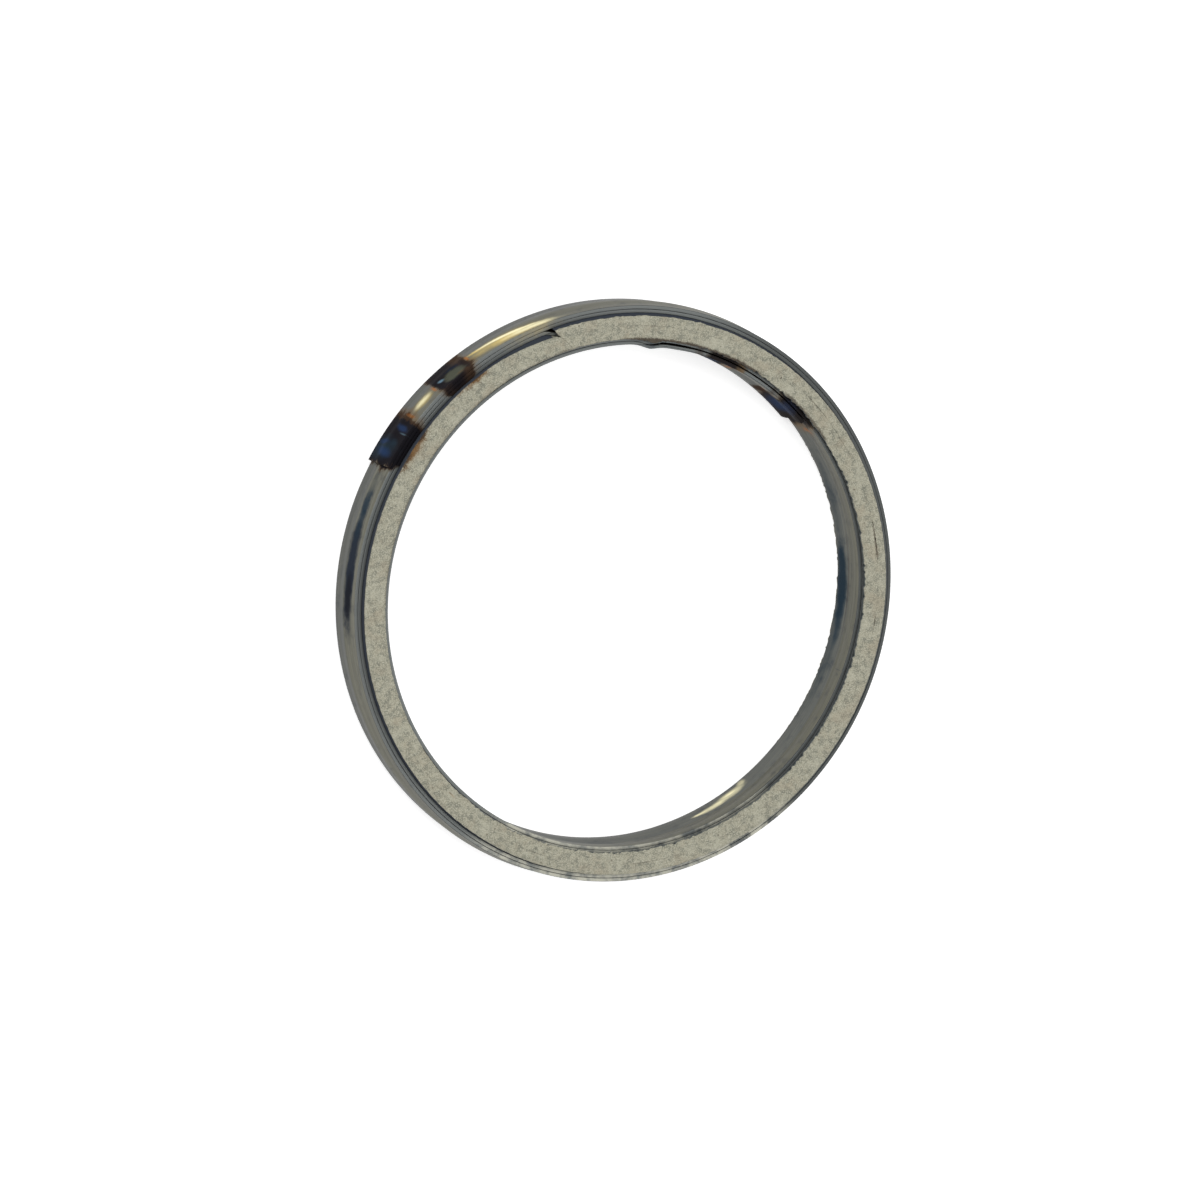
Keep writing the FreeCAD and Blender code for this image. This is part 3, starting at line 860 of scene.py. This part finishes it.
def reshape(part, spiral, arc, middle, rule):
    """Moves each vertex to where the rule puts its turn, its distance from the centre and its height.

    The run that the part belongs to starts at the turn arc, and middle is a turn inside the part.
    """
    centre = spiral.centre(arc)
    for vertex in part.data.vertices:
        flat = Vector((vertex.co.x, vertex.co.y, 0.0)) - centre
        round_about = math.atan2(flat.y, flat.x) - spiral.filler.start_angle - middle
        turn = middle + (round_about + HALF_TURN) % FULL_TURN - HALF_TURN
        new_turn, radius, height = rule(turn, arc, flat.length, vertex.co.z)
        vertex.co = centre + spiral.direction(new_turn) * radius + Vector((0, 0, height))


def finish_piece(piece, name, material, smooth_angle):
    piece.name = name
    piece.data.name = name
    bpy.ops.mesh.select_all(action="SELECT")
    bpy.ops.mesh.normals_make_consistent(inside=False)
    bpy.ops.object.mode_set(mode="OBJECT")
    sides = Counter(edge for face in piece.data.polygons for edge in face.edge_keys)
    if not sides or any(count != 2 for count in sides.values()):
        raise RuntimeError(name + " did not close: some edge does not join two faces")
    bpy.ops.object.shade_smooth_by_angle(angle=smooth_angle)
    piece.data.materials.clear()
    piece.data.materials.append(material)


def wander(*parts):
    """Smooth noise between -1 and 1."""
    return noise.noise(Vector(parts)) * 1.6


def strip_section(sizes):
    piece = start_section("strip_section", sizes.strip_thickness, sizes.strip_width)
    cut(2, ridge_cuts(sizes))
    join_faces()
    raise_ridge(piece, sizes)
    half = sizes.strip_width / 2
    pick(piece, lambda place: abs(abs(place.z) - half) < TINY * MM)
    bpy.ops.mesh.bevel(offset=sizes.edge_round, segments=3, affect="VERTICES")
    open_section()
    return piece


def strip_rule(spiral, welds):
    """The steel's wandering edges, its climb over the filler, its dent and the pressed weld flats."""
    sizes = spiral.winding
    middle = spiral.filler.width / 2
    last_turn = (FILLED_TURNS + BARE_TURNS) * FULL_TURN
    face = spiral.radius(last_turn) + sizes.strip_thickness

    def press(turn, radius, height):
        level = height - middle - welds.press_rise
        pressed = welds.press_depth * max(0.0, 1 - (level / welds.press_height) ** 2)
        reach = face + ridge_rise(height - middle, sizes) - pressed
        for place in (welds.outer_far, welds.outer_near):
            off = math.cos(turn + spiral.filler.start_angle - place)
            if off > FLAT_REACH and radius * off > reach:
                radius = reach / off
        return radius

    def rule(turn, arc, radius, height):
        radius += spiral.lift(turn)
        if turn < 0:
            radius += spiral.dent(turn)
            radius += sizes.lead_close * ease(turn - spiral.joggles[0][0], 0, -math.degrees(sizes.kink_arc))
        if turn > last_turn - TINY:
            radius = press(turn, radius, height)
        off = height - middle
        if abs(off) > sizes.ridge_half_width + sizes.edge_round:
            off += sizes.edge_wave * wander(turn * 4.0, math.copysign(3.0, off), 0.5)
        return turn, radius, middle + off

    return rule


class GASKET_OT_winding(bpy.types.Operator):
    """Winds the chevron steel strip from its sprung first end to its last end"""

    bl_idname = "gasket.winding"
    bl_label = "Steel Winding"

    def execute(self, context):
        scene = context.scene
        sizes = scene.gasket_winding
        spiral = Spiral(sizes, scene.gasket_filler)
        place = section_places(spiral, spiral.radius(spiral.strip_start), spiral.strip_start)
        runs = spiral.runs(0.0, spiral.strip_start, spiral.strip_stop)
        last_turn = (FILLED_TURNS + BARE_TURNS) * FULL_TURN
        piece = sweep(strip_section(sizes), place, runs,
                      lambda turn: sizes.fine_step if turn > last_turn - TINY else sizes.step,
                      spiral, strip_rule(spiral, scene.gasket_weld))
        material = steel_paint(scene.gasket_steel, sizes, scene.gasket_filler)
        finish_piece(piece, "steel_winding", material, STEEL_CREASE)
        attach(piece, "root")
        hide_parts("winding_strip")
        return {"FINISHED"}


def filler_section(sizes, winding):
    """The filler lies between two steel turns and stands proud of their edges above and below."""
    piece = start_section("filler_section", sizes.thickness, sizes.width)
    edge = winding.strip_width / 2 + winding.turn_clearance
    shoulder = edge + sizes.lip_height
    heights = [edge, shoulder]
    heights += [blend(shoulder, sizes.width / 2, part) for part in PROUD_CUTS]
    cut(2, [-height for height in heights] + ridge_cuts(winding) + heights)
    cut(0, [sizes.thickness * part for part in FACE_CUTS])
    join_faces()
    raise_ridge(piece, winding)
    open_section()
    return piece


# Edges of the pressed filler's faces: degrees of turn and radius about the axis in millimetres.
FACE_INNER_EDGE = ((0, 19.70), (180, 19.69), (310, 19.63), (330, 19.66), (350, 19.73), (356.5, 19.73),
                   (358.2, 20.35), (360.5, 20.52), (432, 20.54), (540, 20.62), (610, 20.70), (720, 20.72))
FACE_OUTER_EDGE = ((358.7, 20.72), (359.8, 21.02), (362, 21.08), (365, 21.13), (374, 21.31), (432, 21.34),
                   (540, 21.38), (670, 21.40), (710, 21.46), (720, 21.52))

# Degrees of turn from which the filler's inner edge lies on its own first turn.
SECOND_TURN = 356.5

# Ring angles: the filler's inner edge is torn from the first through 0 to the second, and its outer edge
# between the last two.
TORN_INNER_EDGE = (225.0, 92.0)
TORN_OUTER_EDGE = (55.0, 108.0)

# Where the seam between the two filler turns stands open: ring angle, half length in degrees, share.
SEAM_OPENINGS = ((10.5, 5.5, 1.0), (352.5, 2.2, 0.8), (41.0, 7.0, 0.4), (86.0, 2.5, 0.4),
                 (276.0, 5.0, 0.3), (250.0, 4.0, 0.25))


def seam_gap(degrees, sizes):
    """Half of the gap between the filler turns at a ring angle."""
    gap = sizes.seam
    for place, half, part in SEAM_OPENINGS:
        off = abs((degrees - place + 180.0) % 360.0 - 180.0) / half
        torn = max(0.0, wander(degrees * 1.1, 2.0, 4.0) + 0.25)
        gap += sizes.crack * part * torn * max(0.0, 1 - off * off)
    return gap


def inner_tear(ring):
    """How far the filler's inner edge is torn back at a ring angle, as a share of the ragged size."""
    first, last = TORN_INNER_EDGE
    tear = abs(wander(ring * 0.75, 1.0, 0.0)) + abs(wander(ring * 1.9, 5.0, 0.0)) * 0.6
    return (tear - 0.45) * (0.9 if ring > first or ring < last else 0.25)


def outer_tear(ring):
    """How far the filler's outer edge is torn out at a ring angle, as a share of the ragged size."""
    first, last = TORN_OUTER_EDGE
    tear = wander(ring * 0.8, 9.0, 0.0) + wander(ring * 2.1, 7.0, 0.0) * 0.6
    return tear * (0.25 if first < ring < last else 0.1)


def filler_rule(spiral, tip):
    """The filler's feathered and slanted ends, its spread over the steel's edges and its torn faces."""
    sizes, winding = spiral.filler, spiral.winding
    middle = sizes.width / 2
    edge = winding.strip_width / 2 + winding.turn_clearance

    def pressed(turn, arc, part, height):
        """The proud part, spread sideways over the steel, torn at its edges and pressed flat."""
        back = max(sizes.joggle_arc - turn, 0.0) / (sizes.joggle_arc - tip)
        turn -= back * (tip + sizes.tip_spread)
        degrees, ring = math.degrees(turn), spiral.ring_degrees(turn)
        gap = seam_gap(ring, sizes)
        outermost = degrees > FACE_OUTER_EDGE[0][0]
        innermost = degrees < SECOND_TURN
        start = along(FACE_INNER_EDGE, degrees) * MM
        stop = along(FACE_OUTER_EDGE, degrees) if outermost else along(FACE_INNER_EDGE, degrees + 360)
        stop = max(stop * MM, start + sizes.seam)
        if innermost:
            start += sizes.ragged * inner_tear(ring) + spiral.dent(turn)
        else:
            start += gap
        if outermost:
            stop += sizes.ragged * outer_tear(ring)
        else:
            stop -= gap
        radius = blend(start, stop, part) - spiral.centre(arc).dot(spiral.direction(turn))
        deep = (abs(height) - edge) / (middle - edge)
        at = (spiral.centre(arc) + spiral.direction(turn) * radius) / MM
        sunk = sizes.relief * abs(wander(at.x * 1.9, at.y * 1.9, math.copysign(5.0, height)))
        corner = part if outermost else 1 - part if innermost else 0.0
        sunk += sizes.corner * max(0.0, corner - 0.9) / 0.1
        return turn, radius, height - math.copysign(sunk * deep ** 2, height)

    def rule(turn, arc, radius, height):
        height -= middle
        base = spiral.filler_radius(turn, arc)
        rise = ridge_rise(height, winding)
        part = (radius - base - rise) / sizes.thickness
        if abs(height) > edge + TINY * MM:
            turn, radius, height = pressed(turn, arc, part, height)
        else:
            start, stop = base, base + sizes.thickness + spiral.lift(turn + FULL_TURN)
            if turn < sizes.joggle_arc - TINY:
                room = spiral.climbing_radius(base, turn) - winding.turn_clearance
                stop = max(room + spiral.lift(turn + FULL_TURN), base + sizes.tip)
            radius = blend(start + spiral.lift(turn), stop, part) + rise
        lean = ease(turn - spiral.filler_stop, -SLANT_ARC, 0) * sizes.end_slant * (1 - part) ** 2
        return turn - lean, radius, middle + height

    return rule


class GASKET_OT_filler(bpy.types.Operator):
    """Lays the filler strip between the steel turns, from its feathered end to its blunt end"""

    bl_idname = "gasket.filler"
    bl_label = "Fibre Filler"

    def execute(self, context):
        scene = context.scene
        sizes, winding = scene.gasket_filler, scene.gasket_winding
        spiral = Spiral(winding, sizes)
        first = sizes.joggle_arc
        inner = spiral.radius(first) + spiral.pitch
        tip = math.acos(inner / (inner + winding.turn_clearance + sizes.tip))
        place = section_places(spiral, inner, tip)
        runs = [(tip, spiral.centre(first), first - tip)]
        runs += spiral.runs(spiral.pitch, first, spiral.filler_stop)
        piece = sweep(filler_section(sizes, winding), place, runs, lambda turn: sizes.step, spiral,
                      filler_rule(spiral, tip))
        material = filler_paint(scene.gasket_fibre, sizes)
        finish_piece(piece, "fibre_filler", material, FILLER_CREASE)
        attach(piece, "root")
        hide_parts("filler_strip")
        return {"FINISHED"}


# Stage

FLOOR_GAP = 0.01 * MM
FLOOR_GLOW = 0.55


def stage_material(name, shade, glow):
    """A matt surface that the camera and reflections see brighter than its light alone makes it."""
    material = bpy.data.materials.new(name)
    material.use_nodes = True
    tree = material.node_tree
    path = add_node(tree, "ShaderNodeLightPath", {}, {}).outputs
    seen = add_node(tree, "ShaderNodeMath", {"operation": "MAXIMUM"},
                    {0: path["Is Camera Ray"], 1: path["Is Glossy Ray"]}).outputs[0]
    lit = add_node(tree, "ShaderNodeMath", {"operation": "MULTIPLY"}, {0: seen, 1: glow}).outputs[0]
    sockets = {"Base Color": (*shade, 1.0), "Roughness": 1.0, "Specular IOR Level": 0.0,
               "Emission Color": WHITE, "Emission Strength": lit}
    for name, given in sockets.items():
        feed(tree, tree.nodes["Principled BSDF"].inputs[name], given)
    return material


def make_floor(settings):
    deselect_all()
    bpy.ops.mesh.primitive_plane_add(size=1, location=(0, 0, CAD_BOX[0][2] - FLOOR_GAP))
    floor = bpy.context.object
    floor.name = "floor"
    floor.scale = (settings.floor_size, settings.floor_size, 1)
    bpy.ops.object.transform_apply(location=True, rotation=True, scale=True)
    floor.data.materials.append(stage_material("pale_floor", settings.floor_colour, FLOOR_GLOW))


def make_lamp(name, place, size, power):
    deselect_all()
    bpy.ops.object.light_add(type="AREA", location=place)
    lamp = bpy.context.object
    lamp.name = name
    lamp.data.shape = "SQUARE"
    lamp.data.size = size
    lamp.data.energy = power
    lamp.rotation_mode = "QUATERNION"
    lamp.rotation_quaternion = Vector(place).to_track_quat("Z", "Y")


def make_world(light):
    """A white room that lights the part at a share of what the camera sees."""
    world = bpy.data.worlds.new("studio")
    bpy.context.scene.world = world
    world.use_nodes = True
    tree = world.node_tree
    path = add_node(tree, "ShaderNodeLightPath", {}, {}).outputs
    strength = add_node(tree, "ShaderNodeMix", {}, {"Factor": path["Is Camera Ray"], "A": light, "B": 1.0})
    background = tree.nodes["Background"]
    feed(tree, background.inputs["Color"], WHITE)
    feed(tree, background.inputs["Strength"], strength.outputs["Result"])


def make_camera(settings):
    deselect_all()
    bpy.ops.object.camera_add(location=settings.camera_place, rotation=settings.camera_turn)
    camera = bpy.context.object
    camera.name = "camera"
    camera.data.sensor_width = settings.sensor
    camera.data.lens = settings.lens
    camera.data.clip_start = 0.01
    camera.data.clip_end = 20.0
    bpy.context.scene.camera = camera


class GASKET_OT_stage(bpy.types.Operator):
    """Sets up the pale floor, the soft lamps and the camera"""

    bl_idname = "gasket.stage"
    bl_label = "Studio"

    def execute(self, context):
        settings = context.scene.gasket_stage
        make_floor(settings)
        make_lamp("key_lamp", place=(-0.5, 0.6, 0.9), size=0.6, power=8.0)
        make_lamp("fill_lamp", place=(0.7, -0.3, 0.8), size=0.8, power=4.0)
        make_world(settings.world_light)
        make_camera(settings)
        context.scene.view_settings.view_transform = "Standard"
        return {"FINISHED"}


class GASKET_PT_panel(bpy.types.Panel):
    bl_label = "Exhaust Gasket"
    bl_idname = "GASKET_PT_panel"
    bl_space_type = "VIEW_3D"
    bl_region_type = "UI"
    bl_category = "Gasket"

    def draw(self, context):
        for name, group in GROUPS.items():
            box = self.layout.box()
            settings = getattr(context.scene, name)
            for prop in group.__annotations__:
                box.prop(settings, prop)
        for operator in OPERATORS:
            self.layout.operator(operator.bl_idname)


GROUPS = {
    "gasket_winding": WindingSizes,
    "gasket_filler": FillerSizes,
    "gasket_weld": WeldSizes,
    "gasket_steel": SteelFinish,
    "gasket_fibre": FillerFinish,
    "gasket_stage": StageSettings,
}
OPERATORS = (GASKET_OT_winding, GASKET_OT_filler, GASKET_OT_stage)


def register():
    for name, group in GROUPS.items():
        bpy.utils.register_class(group)
        setattr(bpy.types.Scene, name, PointerProperty(type=group))
    for item in OPERATORS + (GASKET_PT_panel,):
        bpy.utils.register_class(item)


def unregister():
    for item in (GASKET_PT_panel,) + OPERATORS[::-1]:
        bpy.utils.unregister_class(item)
    for name, group in reversed(GROUPS.items()):
        delattr(bpy.types.Scene, name)
        bpy.utils.unregister_class(group)


def main():
    register()
    bpy.ops.gasket.winding()
    bpy.ops.gasket.filler()
    bpy.ops.gasket.stage()


if __name__ == "__main__":
    main()
